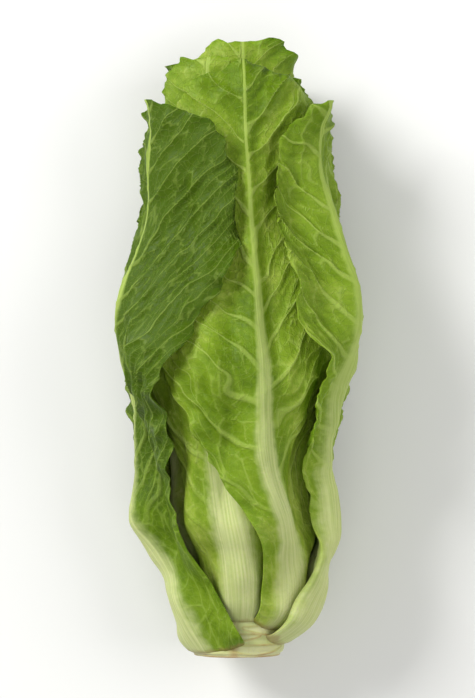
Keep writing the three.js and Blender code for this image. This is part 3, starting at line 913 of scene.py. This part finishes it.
# %% Build the leaves
def add_leaves():
    finishes = {ring: leaf_finish(ring + "_leaf_skin") for ring in GRID}
    triangles = 0
    for leaf in leaves:
        ring = ring_of(leaf.rank)
        node = f"{ring}_leaf_{leaf.rank + 1:02d}"
        piece = build_leaf(leaf, node + "_skin", *GRID[ring])
        piece.data.materials.append(finishes[ring])
        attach(piece, "root")
        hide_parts(node)
        triangles += sum(len(face.vertices) - 2 for face in piece.data.polygons)
    print(f"{len(leaves)} leaves of {triangles} triangles")


add_leaves()

# %% [markdown]
# ## The cut stem
# A knife has taken the heart off its root, so the stem ends in a flat, moist face. Its middle is pith, and
# a ring of darker dots around it are the bundles that feed the leaves. Leaves that were pulled off have left
# crescent scars on the side, one for each step of the spiral, with a brown edge where they dried. A ball
# has no seam and its faces already point outwards, so the stem is a ball whose lower part is spread into
# the cut face and whose upper part is drawn out into the side. The same packing squeezes it.

# %% Place the scars
SCAR_COUNT, FIRST_SCAR, SCAR_RISE = 9, 1.6, 1.45  # how many, the first one's height and the rise to the next
SCAR_HALF_ANGLES, SCAR_HALF_HEIGHT, SCAR_BEND = np.radians((66, 48, 58, 40)), 1.9, 1.6
SCAR_SINK, SCAR_LIP = 0.45, 0.35
SCAR_EDGE, SCAR_PINCH, SCAR_PINCH_FROM = 0.45, 2, 0.7  # the ends are pinched to points
BULGE_HEIGHT, BULGE_REACH, BULGE_FROM = 1.6, 3.5, (0.3, 2)


def into_scar(angle, height):
    """How many millimetres inside the nearest leaf scar a place on the side is, and below 0 outside."""
    deepest = np.full(angle.shape, -FAR)
    for scar in range(SCAR_COUNT):
        turn = angle - leaves[0].turns[0] + (scar + 1) * SPIRAL_STEP
        across = turned_by(turn) / SCAR_HALF_ANGLES[scar % len(SCAR_HALF_ANGLES)]
        middle = FIRST_SCAR + scar * SCAR_RISE + SCAR_BEND * across**2
        inside = SCAR_HALF_HEIGHT * (1 - across**2) - np.abs(height - middle)
        deepest = np.maximum(deepest, inside - SCAR_PINCH * smooth_step(across**2, SCAR_PINCH_FROM, 1))
    return deepest


def foot_bulge(angle, height):
    """The stem swells where an outer leaf is about to leave it."""
    bulge = np.zeros_like(angle)
    for leaf in leaves[: len(OUTER_LEAVES)]:
        turn = angle - leaf.turns[0]
        across = turned_by(turn) * stem_radius(height) / leaf.rib_half_width
        below = (height - leaf.start) / BULGE_REACH
        bulge = np.maximum(bulge, BULGE_HEIGHT * np.exp(-(across**2)) * np.exp(-(below**2)))
    return bulge * smooth_step(height, *BULGE_FROM)


print("the lowest scar is", FIRST_SCAR, "mm above the cut")

# %% Shape the stem
STEM_SEGMENTS, STEM_RINGS = 200, 170
FACE_SHARE, SIDE_SHARE = 0.4, 0.97  # the ball's latitudes that become the face, and the face and side
RING_CROWDING = 1.7  # above 1, the side's rings crowd towards the cut
EDGE_ROUND, ROUND_FROM, ROUND_WIDTH = 0.8, 0.94, 0.06  # the rim, with shares of the face
LEVEL_FROM = 0.9  # from this share of the face on, it evens out to the rim
BUNDLE_RING = 0.66
OLD_BASES, BASE_HALF_ANGLE, FIRST_BASE = 5, np.radians(58), 0.7  # leaf bases that the knife went through
BASE_SEAM, BASE_STEP, BASE_BEND = 0.78, 0.035, 0.2  # how far out the first seam is, and how it curves
BASE_RIPPLE, BASE_RIPPLES = 0.02, 9
PITH_SINK, PITH_EDGE = 0.7, (0.3, 0.62)
RIM_SINK, RIM_EDGE = 0.25, (0.68, 0.78)
SEAM_DEPTH, SEAM_WIDTH = 0.5, 0.035
KNIFE_MARKS, MARKS_OUT, MARKS_FROM = 0.12, 5, 7  # height, how many to the rim, and their place in the table
SIDE_BUMPS, SIDE_BUMPS_ROUND, SIDE_BUMP_LENGTH = 0.3, 6, 5  # height, number to a radian, millimetres


def base_line(out, angle):
    """0 on the seams between the leaf bases that the knife cut, out by the rim of the face."""
    nearest = np.full(angle.shape, FAR)
    for base in range(OLD_BASES):
        turn = angle + FIRST_BASE + base * SPIRAL_STEP
        across = turned_by(turn) / BASE_HALF_ANGLE
        seam = BASE_SEAM + BASE_STEP * base + BASE_BEND * across**2
        seam = seam + BASE_RIPPLE * np.sin(BASE_RIPPLES * turn + base)
        nearest = np.minimum(nearest, np.abs(out - seam) + FAR * (np.abs(across) > 1))
    return nearest


def face_dish(out, angle, seam):
    """How far the cut face has sunk as it dried."""
    dish = PITH_SINK * (1 - smooth_step(out, *PITH_EDGE)) + RIM_SINK * smooth_step(out, *RIM_EDGE)
    across, up = MARKS_FROM + MARKS_OUT * out * np.sin(angle), MARKS_FROM + MARKS_OUT * out * np.cos(angle)
    dish = dish + KNIFE_MARKS * (1 + soft_bumps(across, up, SEEDS["cut_face"]))
    return dish + SEAM_DEPTH * (1 - smooth_step(seam, 0, SEAM_WIDTH))


def side_relief(angle, height, scar):
    lip = SCAR_LIP * np.exp(-((scar / SCAR_EDGE) ** 2)) - SCAR_SINK * smooth_step(scar, 0, 2 * SCAR_EDGE)
    bumps = SIDE_BUMPS * soft_bumps(angle * SIDE_BUMPS_ROUND, height / SIDE_BUMP_LENGTH, SEEDS["stem_side"])
    relief = lip + bumps + foot_bulge(angle, height)
    return relief * smooth_step(height, EDGE_ROUND, 2 * EDGE_ROUND)


def stem_points(x, y, z):
    """Moves the points of a ball of radius 1 to the stem, and tells the finish where they are."""
    share = np.arccos(np.clip(-z, -1, 1)) / np.pi
    angle = np.arctan2(x, -y)
    cut_radius = STEM_PROFILE[0][1]
    on_face = share < FACE_SHARE
    out = np.clip(share / FACE_SHARE, 0, 1)
    side = np.clip((share - FACE_SHARE) / (SIDE_SHARE - FACE_SHARE), 0, 1) ** RING_CROWDING
    cap = np.clip((share - SIDE_SHARE) / (1 - SIDE_SHARE), 0, 1)
    seam = base_line(out, angle)
    corner = EDGE_ROUND * (1 - np.sqrt(1 - np.clip((out - ROUND_FROM) / ROUND_WIDTH, 0, 1) ** 2))
    height = np.minimum(side * STEM_HEIGHT + EDGE_ROUND, STEM_HEIGHT)
    scar = into_scar(angle, height)
    side_radius = stem_radius(height) + side_relief(angle, height, scar)
    radius = np.where(on_face, out * cut_radius, side_radius * (1 - cap))
    sunk = face_dish(out, angle, seam) * (1 - smooth_step(out, LEVEL_FROM, 1)) + corner
    from_cut = np.where(on_face, sunk, height)
    return lying(radius, angle, from_cut), dict(out=np.where(on_face, out, 1 + height), seam=seam,
                                                scar=np.where(on_face, -FAR, scar))


def build_stem():
    bpy.ops.object.select_all(action="DESELECT")
    bpy.ops.mesh.primitive_uv_sphere_add(segments=STEM_SEGMENTS, ring_count=STEM_RINGS, radius=1)
    stem = bpy.context.object
    stem.name = stem.data.name = "cut_stem_skin"
    ball = np.empty(len(stem.data.vertices) * 3)
    stem.data.vertices.foreach_get("co", ball)
    points, reads = stem_points(*ball.reshape(-1, 3).T)
    finish_mesh(stem, points, reads)
    return stem


print(f"the stem is {2 * STEM_PROFILE[0][1]} mm across at the cut, before it is squeezed")

# %% [markdown]
# The stem's finish reads how far out on the face a place is. The bundles are a ring of cells, kept where
# the ring is. The brown comes and goes with a soft noise, as drying does.

# %% Finish the stem
PITH = (0.66, 0.64, 0.36, 1)
FLESH = (0.60, 0.62, 0.31, 1)
STEM_SKIN = (0.50, 0.56, 0.22, 1)
BUNDLE = (0.40, 0.36, 0.13, 1)
DRIED = (0.34, 0.17, 0.06, 1)
BUNDLES, BLOTCHES, GRAIN = 480.0, 140.0, 900.0  # to a metre, about as many of each
STEM_BUMP, STEM_BUMP_DEPTH = 0.7, 0.0006


def near(material, value, middle, full, none):
    """1 within full of the middle, and 0 from none on."""
    distance = calculate(material, "ABSOLUTE", calculate(material, "SUBTRACT", value, middle))
    return step_up(material, distance, full, none, 1.0, 0.0)


def stem_finish():
    material, shader = new_finish("cut_stem_flesh", 0.4, Subsurface_Weight=0.25, Subsurface_Scale=0.003,
                                  Subsurface_Radius=(0.9, 0.8, 0.3), Specular_IOR_Level=0.4)
    place = add_node(material, "TexCoord", {}, {}, "Object")
    out, scar = read(material, "out"), read(material, "scar")
    flesh = mix_colours(material, step_up(material, out, 0.45, 0.6), PITH, FLESH)
    flesh = mix_colours(material, step_up(material, out, 1.5, 4.0), flesh, STEM_SKIN)
    flesh = mix_colours(material, step_up(material, scar, 0.2, 0.9), flesh, FLESH)
    cells = add_node(material, "TexVoronoi", {}, {"Vector": place, "Scale": BUNDLES}, "Distance")
    dots = calculate(material, "MULTIPLY", step_up(material, cells, 0.2, 0.5, 1.0, 0.0),
                     near(material, out, BUNDLE_RING, 0.06, 0.14))
    flesh = mix_colours(material, calculate(material, "MULTIPLY", dots, 0.75), flesh, BUNDLE)
    blotches = mottle(material, place, BLOTCHES, 5.0)
    rim = calculate(material, "MULTIPLY", near(material, out, 0.985, 0.01, 0.1), 0.6)
    seam = step_up(material, read(material, "seam"), 0.0, 0.04, 0.5, 0.0)
    edge = calculate(material, "MULTIPLY", near(material, scar, 0.0, 0.1, 0.6), 0.6)
    brown = calculate(material, "MAXIMUM", calculate(material, "MAXIMUM", rim, seam), edge)
    drying = calculate(material, "MULTIPLY", calculate(material, "ADD", brown, 0.14),
                       step_up(material, blotches, 0.35, 0.65, 0.4, 1.0))
    link(material, mix_colours(material, drying, flesh, DRIED), shader, "Base Color")
    height = calculate(material, "MULTIPLY_ADD", dots, -0.6, blotches)
    height = calculate(material, "MULTIPLY_ADD", mottle(material, place, GRAIN, 4.0), 0.5, height)
    add_bump(material, shader, height, STEM_BUMP, STEM_BUMP_DEPTH)
    return material


def add_stem():
    stem = build_stem()
    stem.data.materials.append(stem_finish())
    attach(stem, "root")
    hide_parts("cut_stem")
    print(f"a stem of {len(stem.data.polygons)} faces")


add_stem()
